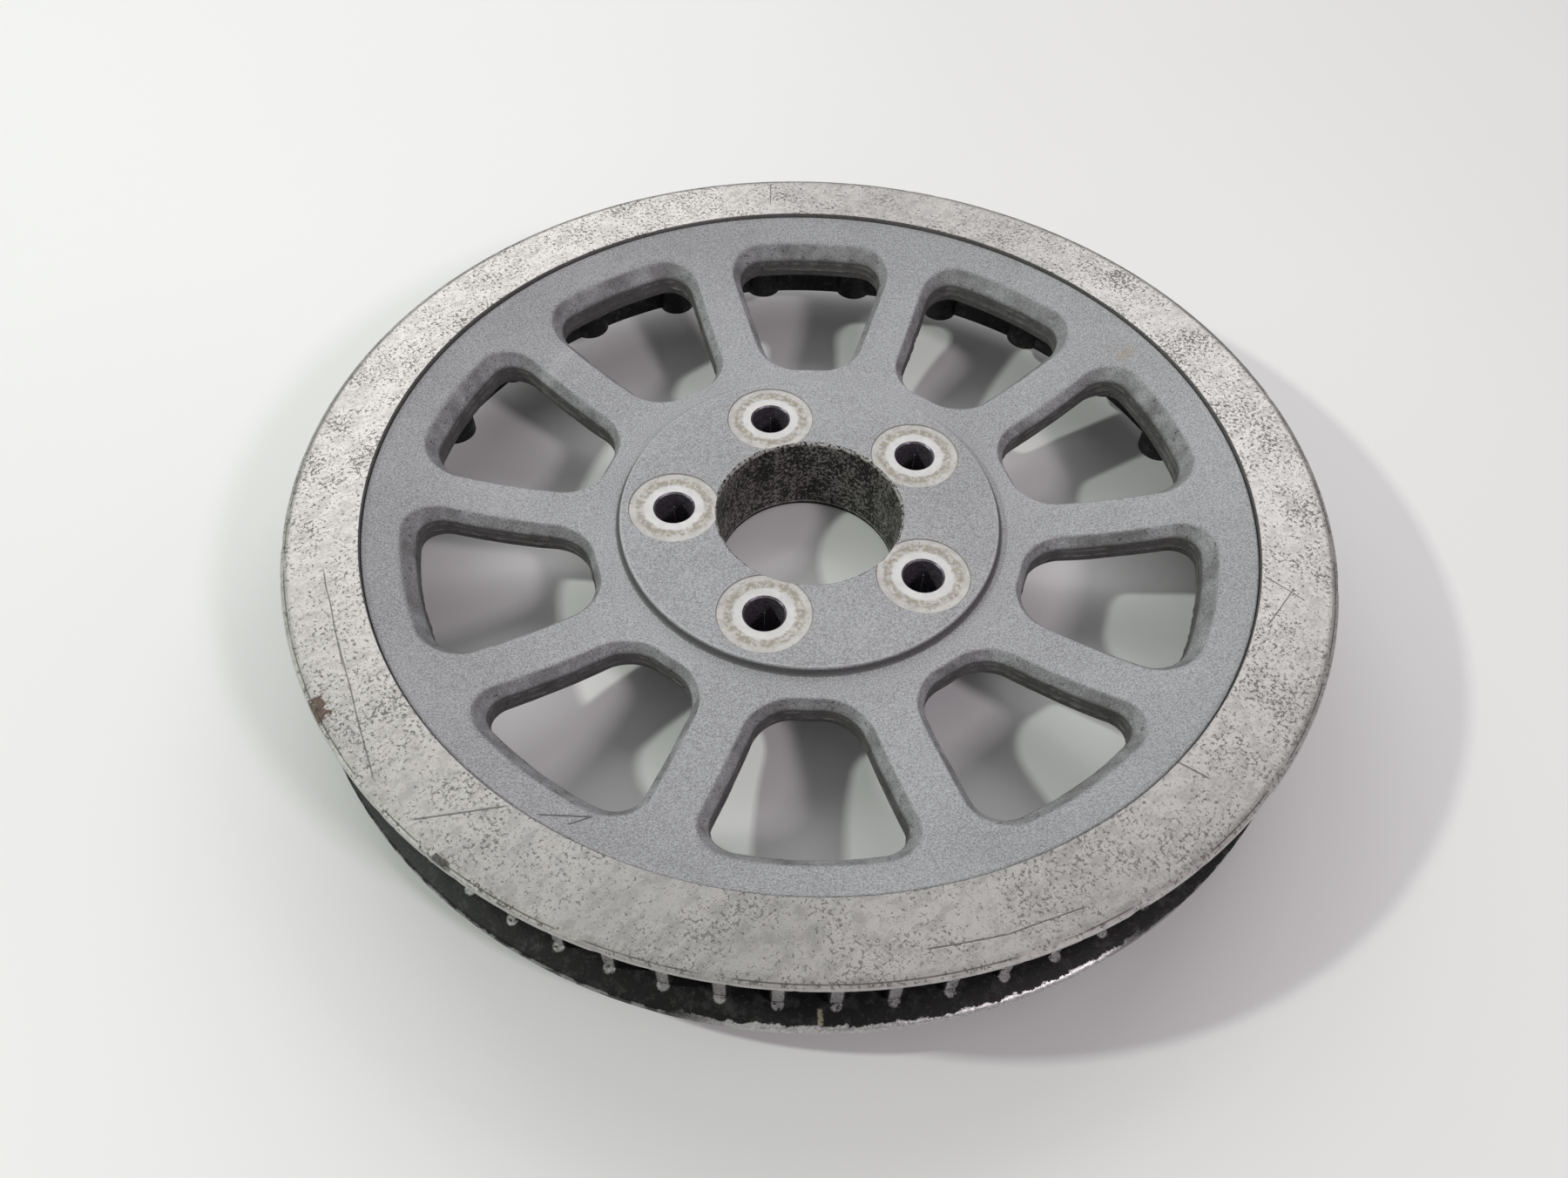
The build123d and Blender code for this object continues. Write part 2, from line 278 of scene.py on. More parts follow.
def ring_of_copies():
    """Geometry Nodes tree that repeats its input round the axis and joins the seams."""
    tree = bpy.data.node_groups.new("Ring of copies", "GeometryNodeTree")
    for label, side, kind in (
            ("Geometry", "INPUT", "NodeSocketGeometry"), ("Count", "INPUT", "NodeSocketInt"),
            ("First angle", "INPUT", "NodeSocketFloat"), ("Seam", "INPUT", "NodeSocketFloat"),
            ("Finish", "INPUT", "NodeSocketMaterial"),
            ("Geometry", "OUTPUT", "NodeSocketGeometry")):
        tree.interface.new_socket(label, in_out=side, socket_type=kind)
    made = {label: tree.nodes.new(kind) for label, kind in (
        ("in", "NodeGroupInput"), ("line", "GeometryNodeMeshLine"),
        ("index", "GeometryNodeInputIndex"), ("step", "ShaderNodeMath"),
        ("turn", "ShaderNodeMath"), ("vector", "ShaderNodeCombineXYZ"),
        ("rotation", "FunctionNodeEulerToRotation"), ("copy", "GeometryNodeInstanceOnPoints"),
        ("real", "GeometryNodeRealizeInstances"), ("merge", "GeometryNodeMergeByDistance"),
        ("set", "GeometryNodeSetMaterial"), ("out", "NodeGroupOutput"))}
    made["line"].mode = "OFFSET"
    made["line"].inputs["Offset"].default_value = (0, 0, 0)
    made["step"].operation = "DIVIDE"
    made["step"].inputs[0].default_value = 2 * math.pi
    made["turn"].operation = "MULTIPLY_ADD"
    for source, output, target, socket in (
            ("in", "Count", "line", "Count"), ("in", "Count", "step", 1),
            ("index", 0, "turn", 0), ("step", 0, "turn", 1), ("in", "First angle", "turn", 2),
            ("turn", 0, "vector", "Z"), ("vector", 0, "rotation", 0),
            ("line", 0, "copy", "Points"), ("in", "Geometry", "copy", "Instance"),
            ("rotation", 0, "copy", "Rotation"), ("copy", 0, "real", 0),
            ("real", 0, "merge", "Geometry"), ("in", "Seam", "merge", "Distance"),
            ("merge", 0, "set", "Geometry"), ("in", "Finish", "set", "Material"),
            ("set", 0, "out", 0)):
        tree.links.new(made[source].outputs[output], made[target].inputs[socket])
    return tree


ring_tree = ring_of_copies()
weld = 2e-6


def repeat_round(piece, count, first_angle, finish, seam=weld):
    """Make piece into a plain mesh of copies of itself round the axis."""
    values = {"Count": count, "First angle": first_angle, "Seam": seam, "Finish": finish}
    modifier = piece.modifiers.new("Ring", "NODES")
    modifier.node_group = ring_tree
    for item in ring_tree.interface.items_tree:
        if item.in_out == "INPUT" and item.name in values:
            modifier[item.identifier] = values[item.name]
    settle(piece)


def settle(piece):
    """Apply the piece's modifiers, so that a plain mesh is left."""
    graph = bpy.context.evaluated_depsgraph_get()
    graph.update()
    mesh = bpy.data.meshes.new_from_object(piece.evaluated_get(graph))
    piece.modifiers.clear()
    mesh.name = piece.name
    piece.data = mesh


def tidy_surface(piece, sharp_degrees):
    """Merge doubles, turn all faces outwards and shade smooth up to an angle."""
    work = bmesh.new()
    work.from_mesh(piece.data)
    bmesh.ops.remove_doubles(work, verts=work.verts, dist=weld)
    bmesh.ops.recalc_face_normals(work, faces=work.faces)
    work.to_mesh(piece.data)
    work.free()
    piece.data.polygons.foreach_set("use_smooth", [True] * len(piece.data.polygons))
    piece.data.set_sharp_from_angle(angle=math.radians(sharp_degrees))


class Link:
    """One output of a material's node, which Python's operators turn into more nodes."""

    def __init__(self, look, socket):
        self.look = look
        self.socket = socket

    def maths(self, operation, *others):
        """The result of a maths node whose first input is this output."""
        return self.look.node("ShaderNodeMath", {"operation": operation},
                              dict(enumerate((self,) + others)))

    def __add__(self, other):
        return self.maths("ADD", other)

    def __mul__(self, other):
        return self.maths("MULTIPLY", other)

    def __sub__(self, other):
        return self.maths("SUBTRACT", other)

    def __rsub__(self, other):
        return self.look.node("ShaderNodeMath", {"operation": "SUBTRACT"}, {0: other, 1: self})

    __radd__ = __add__
    __rmul__ = __mul__

    def step(self, low, high):
        """Smooth step from 0 at low to 1 at high."""
        return self.look.node("ShaderNodeMapRange", {"interpolation_type": "SMOOTHSTEP"},
                              {"Value": self, "From Min": low, "From Max": high})

    def around(self, centre, reach, soft):
        """1 within reach of a value, falling to 0 over a soft width."""
        return 1 - (self - centre).maths("ABSOLUTE").step(reach, reach + soft)


class Look:
    """A material being made in its node tree."""

    def __init__(self, name):
        self.material = bpy.data.materials.new(name)
        self.material.use_nodes = True
        self.tree = self.material.node_tree
        self.tree.nodes.clear()
        self.place = self.node("ShaderNodeTexCoord", output="Object")
        split = self.node("ShaderNodeSeparateXYZ", inputs={0: self.place}).socket.node
        self.x, self.y, self.z = (Link(self, s) for s in split.outputs)
        self.radius = (self.x * self.x + self.y * self.y).maths("SQRT")

    def node(self, kind, settings=None, inputs=None, output=0):
        """Add a node: its settings first, then values or links into its sockets."""
        made = self.tree.nodes.new(kind)
        for key, value in (settings or {}).items():
            setattr(made, key, value)
        for key, value in (inputs or {}).items():
            if isinstance(value, Link):
                self.tree.links.new(value.socket, made.inputs[key])
            else:
                made.inputs[key].default_value = value
        return Link(self, made.outputs[output]) if made.outputs else None

    def noise(self, size, detail=2.0, roughness=0.5, stretch=(1, 1, 1), turn=0.0, shift=0.0):
        """Noise whose blotches are about size metres across, times stretch along turned axes."""
        at = self.node("ShaderNodeMapping", {"vector_type": "TEXTURE"}, {
            "Vector": self.place, "Scale": stretch, "Rotation": (0, 0, turn),
            "Location": (shift, shift, 0)})
        return self.node("ShaderNodeTexNoise", inputs={
            "Vector": at, "Scale": 1 / size, "Detail": detail, "Roughness": roughness})

    def mix(self, mask, first, second):
        """Colour blend: first where mask is 0, second where it is 1."""
        return self.node("ShaderNodeMix", {"data_type": "RGBA"}, {0: mask, 6: first, 7: second},
                         output=2)

    def off(self, x, y, flat=1.0):
        """Distance in plan from a point, summed along both axes; y counts flat times."""
        across = (self.x - x).maths("ABSOLUTE")
        return across + (self.y - y).maths("ABSOLUTE") * flat

    def scratch(self, start, end, width, wander=0.0):
        """Mask of a straight scratch between two points in plan, fading along its length."""
        run = math.hypot(end[0] - start[0], end[1] - start[1])
        ux, uy = (end[0] - start[0]) / run, (end[1] - start[1]) / run
        across = (self.x - start[0]) * uy - (self.y - start[1]) * ux
        if wander:
            across = across + (self.noise(0.012) - 0.5) * wander
        along = (self.x - start[0]) * ux + (self.y - start[1]) * uy
        return across.around(0, width * 0.4, width) * along.around(run / 2, run * 0.4, run * 0.12)

    def finish(self, color, roughness, metallic=0.0, height=None, relief=0.0001, strength=1.0,
               **more):
        """Principled shader with an optional height field, as the finished material."""
        inputs = {"Base Color": color, "Roughness": roughness, "Metallic": metallic, **more}
        if height is not None:
            inputs["Normal"] = self.node("ShaderNodeBump", inputs={
                "Height": height, "Distance": relief, "Strength": strength})
        shader = self.node("ShaderNodeBsdfPrincipled", inputs=inputs)
        self.node("ShaderNodeOutputMaterial", inputs={0: shader})
        return self.material


def grey(value, warmth=0.0):
    """A near-neutral colour; positive warmth leans to brown, negative to blue."""
    return (value * (1 + warmth), value, value * (1 - warmth), 1.0)


def wheel_paint():
    """Sandy silver-grey paint: fine light and dark grains, soft mottling, dirt and painted shade in
    the recesses, a painted highlight on the plateau's edge and painted shade at its foot.
    """
    look = Look("wheel_paint")
    recess = look.node("ShaderNodeAttribute", {"attribute_name": "recess"}, output="Fac")
    grain = look.noise(0.0005, 3.0, 0.75)
    fine = look.noise(0.0003, 2.0, 0.6, shift=0.3)
    mottle = look.noise(0.035, 3.0, 0.6)
    patch = look.noise(0.009, 4.0, 0.65, shift=0.7)
    color = look.mix(mottle.step(0.3, 0.72), (0.320, 0.321, 0.338, 1), (0.378, 0.379, 0.399, 1))
    color = look.mix(grain.step(0.48, 0.62) * 0.48, color, grey(0.62, -0.02))
    color = look.mix((1 - grain.step(0.38, 0.50)) * 0.52, color, grey(0.12, -0.02))
    color = look.mix(fine.step(0.58, 0.68) * 0.42, color, grey(0.74, -0.02))
    # Dirt and painted shade: patchy darkening on the bevels and walls of the windows.
    grime_and_shade = recess.step(0.2, 1.1) * patch.step(0.25, 0.75)
    color = look.mix(grime_and_shade * 0.72, color, grey(0.085, 0.05))
    # Painted shade: the windows' walls are made near-black all over.
    color = look.mix(recess.step(1.0, 1.5) * 0.76, color, grey(0.045, 0.08))
    bare = recess.around(recess_at_flash, 0.02, 0.08) * look.noise(0.004, 3.0).step(0.45, 0.62)
    color = look.mix(bare * 0.5, color, grey(0.26, 0.05))
    pits = recess.step(0.5, 1.0) * (1 - look.noise(0.0016, 3.0, 0.6, shift=1.3).step(0.28, 0.40))
    color = look.mix(pits * 0.75, color, grey(0.028, 0.1))
    stain = (1 - look.off(0.1029, 0.0639).step(0.001, 0.007)) * patch.step(0.35, 0.6)
    color = look.mix(stain * 0.5, color, (0.33, 0.24, 0.12, 1))
    vee_start, vee_point, vee_end = (-0.0657, -0.1099), (-0.0524, -0.1085), (-0.0582, -0.1120)
    vee = look.scratch(vee_start, vee_point, 0.0003, 0.0008)
    vee = vee.maths("MAXIMUM", look.scratch(vee_point, vee_end, 0.00025, 0.0005))
    color = look.mix(vee * (1 - recess.step(0.5, 1.0)) * 0.8, color, grey(0.05))
    rub = look.scratch((-0.088, 0.052), (-0.079, 0.068), 0.0022, 0.004) * fine.step(0.35, 0.6)
    color = look.mix(rub * 0.25, color, grey(0.6))
    # Painted highlight: a light line along the rounded top edge of the hub plateau.
    lip = look.radius.around(0.05735, 0.0002, 0.0002) * look.z.step(0.0289, 0.0291)
    color = look.mix(lip * 0.22, color, grey(0.75))
    # Painted shade: a dark line on the wall and foot of the plateau's step.
    foot = look.radius.around(0.0582, 0.0005, 0.0006) * (1 - look.z.step(0.0282, 0.0289))
    color = look.mix(foot * 0.8, color, grey(0.05, 0.05))
    height = grain * 0.7 + fine * 0.3
    roughness = 0.50 + 0.14 * grain + 0.1 * recess.step(0.2, 1.2)
    return look.finish(color, roughness, 0.25, height, relief=0.00045, strength=0.55)


paint = wheel_paint()
sector_points, sector_faces, sector_depth = wheel_sector()
web = new_piece("wheel_web", sector_points, sector_faces)
recess = web.data.attributes.new("recess", "FLOAT", "POINT")
recess.data.foreach_set("value", sector_depth)
repeat_round(web, window_count, math.pi / 2, paint, seam=2 * weld)
tidy_surface(web, 42)


def cast_unevenness(piece, inner_r, outer_r):
    """Waviness and ragged parting flash of a sand casting, faded out at its turned edges."""
    fade_width = 0.004
    depth = piece.data.attributes["recess"].data
    normals = [v.normal.copy() for v in piece.data.vertices]
    for vertex, normal in zip(piece.data.vertices, normals):
        r = math.hypot(vertex.co.x, vertex.co.y)
        fade = (min(1, max(0, (r - inner_r) / fade_width))
                * min(1, max(0, (outer_r - r) / fade_width)))
        if fade <= 0:
            continue
        wave = noise.noise(vertex.co / 0.011) * 0.00014
        ripple = noise.noise(vertex.co / 0.0025) * 0.00005
        flash = 0.0
        if abs(depth[vertex.index].value - recess_at_flash) < 0.02:
            flash = 0.0006 * abs(noise.noise(vertex.co / 0.0032)) - 0.0001
        vertex.co += normal * (wave + ripple + flash) * fade


cast_unevenness(web, web_root_r + 0.0005, face_edge_r - 0.0001)
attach(web, "root")
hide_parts("spoked_wheel")

# ---------------------------------------------------------------------------
# Hub of the same casting: raised flat plateau with five spot-faced bolt holes,
# the bore that locates on its carrier, and the barrel behind. Spot faces,
# bore and back face are machined bare; the rest is painted.
# ---------------------------------------------------------------------------
hub_top_z = 0.0293
bore_r = 0.02825
bolt_count = 5
bolt_step = 2 * math.pi / bolt_count
bolt_lead = math.radians(36)
bolt_circle_r = 0.041275
bolt_hole_r = 0.0059
spot_face_r = 0.01385
spot_face_z = 0.0290
bolt_hole_low_z = 0.0001
bolt_hole_high_z = 0.02899
hub_segments = 480
bore_edge_rows = (4, 5, 6)


def lathe(profile, segments, ripple=None):
    """Points and faces of a closed profile of (radius, height) turned about the axis."""
    points = []
    for row, (r, z) in enumerate(profile):
        for k in range(segments):
            angle = 2 * math.pi * k / segments
            dr, dz = ripple(row, angle) if ripple else (0.0, 0.0)
            points.append(((r + dr) * math.cos(angle), (r + dr) * math.sin(angle), z + dz))
    faces = grid_faces(len(profile), segments, True)
    last = (len(profile) - 1) * segments
    faces += [(last + k, last + (k + 1) % segments, (k + 1) % segments, k) for k in range(segments)]
    return points, faces


hub_profile = [
    (bore_r, 0.0008), (bore_r, 0.010), (bore_r, 0.020), (bore_r, 0.0270), (bore_r, 0.0281),
    (0.02835, 0.0286), (0.02870, 0.0290), (0.02905, hub_top_z), (0.0300, hub_top_z),
    (0.0566, hub_top_z), (0.0571, hub_top_z), (0.0574, 0.02922), (0.0576, 0.02908),
    (0.05775, 0.0288), (0.0579, 0.0282), (0.0581, 0.0275), (0.0584, 0.0270), (0.0589, 0.0267),
    (0.0597, 0.02655), (web_root_r, dish_height(web_root_r)), web_root_middle,
    (web_under_root_r, 0.0171), (0.0585, 0.01695), (0.0571, 0.0163), (0.0560, 0.0151),
    (0.0551, 0.0134), (0.0549, 0.0126), (0.0544, 0.0060), (0.0540, 0.0010), (0.0537, 0.0003),
    (0.0530, 0.0), (0.02905, 0.0)]


def chipped_bore(row, angle):
    """Small chips along the bore's top edge."""
    if row not in bore_edge_rows:
        return 0.0, 0.0
    chips_round = 14
    at = Vector((math.cos(angle), math.sin(angle), row * 0.11)) * chips_round
    chip = max(0.0, noise.noise(at) - 0.05) * 0.0009
    return chip * (0.6 if row == bore_edge_rows[-1] else 1.0), -0.3 * chip


hub = new_piece("wheel_hub", *lathe(hub_profile, hub_segments, chipped_bore))
tidy_surface(hub, 30)
cutter_profile = [
    (0.0001, 0.034), (0.0145, 0.034), (0.0145, hub_top_z + 0.0001),
    (spot_face_r + 0.0001, hub_top_z), (spot_face_r, hub_top_z - 0.0001),
    (spot_face_r - 0.0001, spot_face_z + 0.00003), (spot_face_r - 0.0002, spot_face_z),
    (0.0064, spot_face_z), (bolt_hole_r, 0.0285), (bolt_hole_r, 0.0005), (0.0063, 0.0),
    (0.0065, -0.002), (0.0001, -0.002)]
cutter_points, cutter_faces = lathe(cutter_profile, 120)
cutter_points = [(x + bolt_circle_r, y, z) for x, y, z in cutter_points]
cutter = new_piece("bolt_hole_cutter", cutter_points, cutter_faces)
tidy_surface(cutter, 30)
repeat_round(cutter, bolt_count, bolt_lead, paint)
cut = hub.modifiers.new("Bolt holes", "BOOLEAN")
cut.object = cutter
cut.solver = "EXACT"
settle(hub)
bpy.data.objects.remove(cutter)
tidy_surface(hub, 28)


def nearest_bolt(look):
    """Distance in plan from the nearest of the bolt holes' centres."""
    angle = look.y.maths("ARCTAN2", look.x) - bolt_lead
    folded = angle.maths("WRAP", bolt_step / 2, -bolt_step / 2)
    dx = look.radius * folded.maths("COSINE") - bolt_circle_r
    dy = look.radius * folded.maths("SINE")
    return (dx * dx + dy * dy).maths("SQRT")


def spot_face_metal():
    """Bright turned face, cleaner where the washer sat and grimy outside it."""
    look = Look("spot_face_metal")
    away = nearest_bolt(look)
    patch = look.noise(0.0035, 4.0, 0.65)
    fine = look.noise(0.0007, 3.0, 0.6)
    edge = away + (patch - 0.5) * 0.0024
    dirty = edge.step(0.0088, 0.0100)
    color = look.mix(patch.step(0.3, 0.7), grey(0.53, 0.010), grey(0.61, 0.006))
    soiled = look.mix(patch.step(0.35, 0.65), grey(0.47, 0.04), grey(0.57, 0.03))
    color = look.mix(dirty * 0.85, color, soiled)
    arcs = look.noise(0.0016, 4.0, 0.7, shift=0.9)
    brown = (edge + (arcs - 0.5) * 0.003).around(0.0106, 0.0008, 0.0010) * arcs.step(0.40, 0.56)
    color = look.mix(brown * 0.6, color, (0.23, 0.195, 0.125, 1))
    ring = (away + (fine - 0.5) * 0.0006).around(0.0095, 0.0001, 0.0007)
    color = look.mix(ring * look.noise(0.006).step(0.4, 0.6) * 0.35, color, grey(0.30, 0.10))
    specks = dirty * look.noise(0.0011, 2.0, 0.6, shift=0.4).step(0.60, 0.70)
    color = look.mix(specks * 0.5, color, grey(0.20, 0.12))
    # Painted shade: a dark line round the edge of each spot face.
    rim_shade = away.step(0.01345, 0.0138)
    color = look.mix(rim_shade * 0.6, color, grey(0.12, 0.06))
    return look.finish(color, 0.42 + 0.2 * dirty, 0.35, fine, relief=0.0001, strength=0.5)


def bore_metal():
    """Bore wall gone brown-black with fretting corrosion, pale grains breaking through, with a
    painted highlight line low down and painted shadow at its foot.
    """
    look = Look("bore_metal")
    grain = look.noise(0.0010, 4.0, 0.72)
    blotch = look.noise(0.007, 3.0, 0.6, stretch=(1, 1, 1.7))
    pale = (grain + (blotch - 0.5) * 0.35).step(0.47, 0.58)
    color = look.mix(pale * 0.9, grey(0.014, 0.1), grey(0.27, 0.05))
    color = look.mix(look.noise(0.0006, 2.0, 0.6).step(0.58, 0.66) * pale, color, grey(0.48, 0.03))
    bright = look.z.step(0.0276, 0.0286) * grain.step(0.42, 0.52)
    color = look.mix(bright * 0.75, color, grey(0.55, 0.03))
    # Painted highlight: a thin light line low on the bore wall.
    line = look.z.around(0.0021, 0.0001, 0.0002)
    color = look.mix(line * 0.6, color, grey(0.50))
    # Painted shadow: the bottom of the bore wall is made near-black where it meets the table.
    color = look.mix((1 - look.z.step(0.0014, 0.0018)) * 0.95, color, grey(0.008))
    return look.finish(color, 0.45 + 0.25 * grain, 0.5, grain, relief=0.0004, strength=0.7)


def bolt_hole_wall():
    """Drilled wall with a dull purple-grey bloom."""
    look = Look("bolt_hole_wall")
    grain = look.noise(0.0012, 3.0, 0.6, stretch=(1, 1, 0.33))
    color = look.mix(grain.step(0.35, 0.65), (0.09, 0.078, 0.095, 1), (0.24, 0.22, 0.26, 1))
    return look.finish(color, 0.4, 0.6, grain, relief=0.0002, strength=0.6)


def machined_back():
    """Faced back of the hub: bare, with fine turning lines and stains."""
    look = Look("machined_back")
    lines = (look.radius * 9000).maths("SINE")
    patch = look.noise(0.012, 4.0, 0.6)
    color = look.mix(patch.step(0.3, 0.7), grey(0.42, 0.03), grey(0.56, 0.02))
    color = look.mix(look.noise(0.0016, 2.0, 0.6).step(0.62, 0.72) * 0.6, color, grey(0.12, 0.08))
    return look.finish(color, 0.34 + 0.15 * patch, 0.85, lines, relief=0.00002, strength=0.5)


hub.data.materials.clear()
for finish in (paint, spot_face_metal(), bore_metal(), bolt_hole_wall(), machined_back()):
    hub.data.materials.append(finish)
painted, spot_face, bore, bolt_hole, back_face = range(5)


def hub_finish(middle):
    """Which of the hub's finishes a face has, from the point in its middle."""
    r = math.hypot(middle.x, middle.y)
    fold = (math.atan2(middle.y, middle.x) - bolt_lead) % bolt_step
    fold = min(fold, bolt_step - fold)
    away = math.hypot(r * math.cos(fold) - bolt_circle_r, r * math.sin(fold))
    if away < bolt_hole_r + 0.0007 and bolt_hole_low_z < middle.z < bolt_hole_high_z:
        return bolt_hole
    if r < bore_r + 0.00075:
        return bore
    if away < spot_face_r + 0.0002 and spot_face_z - 0.00005 < middle.z < hub_top_z - 0.00003:
        return spot_face
    return back_face if middle.z < bolt_hole_low_z else painted


for face in hub.data.polygons:
    face.material_index = hub_finish(face.center)
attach(hub, "root")
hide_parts("spoked_wheel")

# ---------------------------------------------------------------------------
# Outer flange: a turned ring seated on the wheel's ledge, bare metal with a
# small chamfer. Its lip guides the belt. Corroded in dark specks, scratched
# on its face and nicked along its edge.
# ---------------------------------------------------------------------------
ring_low, ring_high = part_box("outer_flange")
ring_r = ring_high.x
ring_top_z = ring_high.z
ring_inner_r = 0.12975
ring_body_r = 0.1379
ring_lip_z = 0.04200
ring_segments = 1080
ring_edge_rows = range(9, 16)
ring_profile = [
    (ring_inner_r, ring_low.z), (ring_inner_r, 0.04360), (0.12983, 0.04386),
    (0.12998, ring_top_z), (0.1312, ring_top_z), (0.1400, ring_top_z), (0.1480, ring_top_z),
    (0.14885, ring_top_z), (0.14905, 0.04397), (0.1497, 0.04380), (0.1503, 0.04362),
    (0.1507, 0.04345), (ring_r - 0.00012, 0.04322), (ring_r, 0.04300), (ring_r, 0.04275),
    (ring_r - 0.0001, 0.04258), (0.1502, 0.04240), (0.1456, ring_lip_z),
    (ring_body_r, ring_lip_z), (ring_body_r, ring_low.z)]


def edge_nicks(row, angle):
    """Dents along the ring's outer edge."""
    if row not in ring_edge_rows:
        return 0.0, 0.0
    dents_round = 21
    at = Vector((math.cos(angle), math.sin(angle), 0.0)) * dents_round
    dent = max(0.0, noise.noise(at) - 0.38) * 0.0009
    nick = max(0.0, noise.noise(at * 3.1) - 0.36) * 0.0004
    return -dent - nick, 0.0


ring = new_piece("flange_ring", *lathe(ring_profile, ring_segments, edge_nicks))
tidy_surface(ring, 30)


def ring_metal():
    """Dull bare metal, warm grey, with clusters of dark corrosion specks and scratches."""
    look = Look("ring_metal")
    broad = look.noise(0.05, 3.0, 0.55)
    cluster = look.noise(0.013, 4.0, 0.62)
    speck = look.noise(0.0010, 3.0, 0.68, stretch=(1.3, 1.0, 1.0), turn=0.7)
    smear = look.noise(0.0032, 5.0, 0.75, stretch=(1.5, 1.0, 1.0), turn=0.7, shift=0.6)
    small = look.noise(0.0006, 2.0, 0.6, shift=0.2)
    color = look.mix(broad.step(0.3, 0.7), grey(0.48, 0.030), grey(0.57, 0.032))
    color = look.mix(small.step(0.5, 0.75) * 0.35, color, grey(0.70, 0.015))
    color = look.mix((1 - smear.step(0.38, 0.55)) * 0.40, color, grey(0.25, 0.035))
    crackle = look.noise(0.0010, 3.0, 0.68, stretch=(1.3, 1.0, 1.0), turn=-0.8, shift=1.1)
    gather = 0.30 * (cluster - 0.5) + 0.15 * (smear - 0.5)
    dark = 1 - (speck.maths("MINIMUM", crackle) - gather).step(0.345, 0.440)
    color = look.mix(dark * 0.80, color, grey(0.105, 0.05))
    pinprick = 1 - small.step(0.28, 0.37)
    color = look.mix(pinprick * 0.45, color, grey(0.13, 0.03))
    lines = look.scratch((-0.0953, -0.1132), (-0.0716, -0.1088), 0.00028, 0.0006)
    for start, end, width in (((-0.1343, -0.0377), (-0.1200, -0.0720), 0.0002),
                              ((-0.1250, -0.0600), (-0.1050, -0.1038), 0.00022),
                              ((0.0249, -0.1416), (0.0450, -0.1375), 0.00025),
                              ((0.0430, -0.1382), (0.0632, -0.1306), 0.00022),
                              ((0.0893, -0.0918), (0.0979, -0.0976), 0.00028),
                              ((-0.0150, 0.1483), (-0.0148, 0.1347), 0.0002),
                              ((0.1259, -0.0331), (0.1358, -0.0419), 0.00018),
                              ((0.1225, -0.0511), (0.1340, -0.0370), 0.00018)):
        lines = lines.maths("MAXIMUM", look.scratch(start, end, width, 0.0009))
    color = look.mix(lines * 0.75, color, grey(0.10, 0.02))
    ragged = (look.noise(0.0040, 5.0, 0.75, shift=0.4) - 0.5) * 0.018
    rust = 1 - (look.off(-0.1240, -0.0838, 0.7) + ragged).step(0.0034, 0.0038)
    color = look.mix(rust * 0.85, color, (0.085, 0.040, 0.025, 1))
    nick = 1 - (look.off(-0.0850, -0.1229) + ragged).step(0.0030, 0.0036)
    nick = nick * (look.radius - ragged * 0.12).step(0.1490, 0.1493)
    color = look.mix(nick * 0.85, color, grey(0.03, 0.1))
    chamfer_r = 0.1498
    chamfer = look.radius.around(chamfer_r, 0.0007, 0.0003) * look.z.step(0.0432, 0.0434)
    color = look.mix(chamfer * 0.25, color, grey(0.13, 0.03))
    groove = look.radius.around(chamfer_r, 0.0001, 0.00015)
    groove = groove * look.noise(0.012, 4.0, shift=0.5).step(0.38, 0.52)
    color = look.mix(groove * 0.7, color, grey(0.06, 0.05))
    edge = look.radius.step(0.1506, 0.1508)
    color = look.mix(edge * 0.7, color, grey(0.58, 0.02))
    # Dark joint line, plus painted shade on the ring's inner wall next to the wheel.
    joint_shade = 1 - look.radius.step(0.12985, 0.1301)
    color = look.mix(joint_shade * 0.6, color, grey(0.06, 0.05))
    # Painted shade: the ring's underside and the band below its lip are made near-black.
    under = 1 - look.z.step(ring_lip_z - 0.0001, ring_lip_z + 0.0006)
    color = look.mix(under * 0.85, color, grey(0.035))
    roughness = 0.36 + 0.10 * broad + 0.30 * dark + 0.22 * look.radius.step(0.1487, 0.1492)
    metallic = 0.86 - 0.5 * dark
    height = small * 0.4 - dark * 0.6 - lines * 0.8
    return look.finish(color, roughness, metallic, height, relief=0.00008, strength=0.5)


ring.data.materials.append(ring_metal())
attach(ring, "root")
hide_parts("outer_flange")

# ---------------------------------------------------------------------------
# Toothed rim: black-coated band with 66 round-bottomed belt grooves, and the
# ring behind it whose half-round bosses take the screws. The belt has worn
# the lands between the grooves bare.
# ---------------------------------------------------------------------------
tooth_count = 66
half_pitch = math.pi / tooth_count
tooth_tip_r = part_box("toothed_rim")[1].x
groove_r = 0.00475
groove_centre_r = 0.1450
rim_low_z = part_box("toothed_rim")[0].z
tooth_low_z = 0.0175
tooth_top_z = 0.0420
socket_r = 0.1381
spigot_r = 0.13955
land_round = 0.0009
flank_share = 0.93
end_round_from_r = 0.1405


def tooth_outline(shrink):
    """Half a groove, a land and half a groove in plan, drawn in by shrink at a rounded end."""
    groove_centre = polar(groove_centre_r, -half_pitch)
    outline = []
    for k in range(13):
        lean = -math.pi + math.pi / 2 * k / 12 * flank_share
        outline.append(groove_centre + polar(groove_r, -lean - half_pitch))
    lip_angle = math.atan2(outline[-1][1], outline[-1][0])
    inset = land_round / tooth_tip_r
    for k, r in ((0.25, tooth_tip_r - 0.00028), (0.7, tooth_tip_r - 0.00006)):
        outline.append(polar(r, lip_angle + inset * k))
    for k in range(4):
        outline.append(polar(tooth_tip_r, (lip_angle + inset) * (1 - k / 3)))
    outline = [p * (1 - shrink * max(0, np.hypot(*p) - end_round_from_r) / np.hypot(*p))
               for p in outline]
    flip = np.array((1.0, -1.0))
    return outline + [p * flip for p in reversed(outline[:-1])]


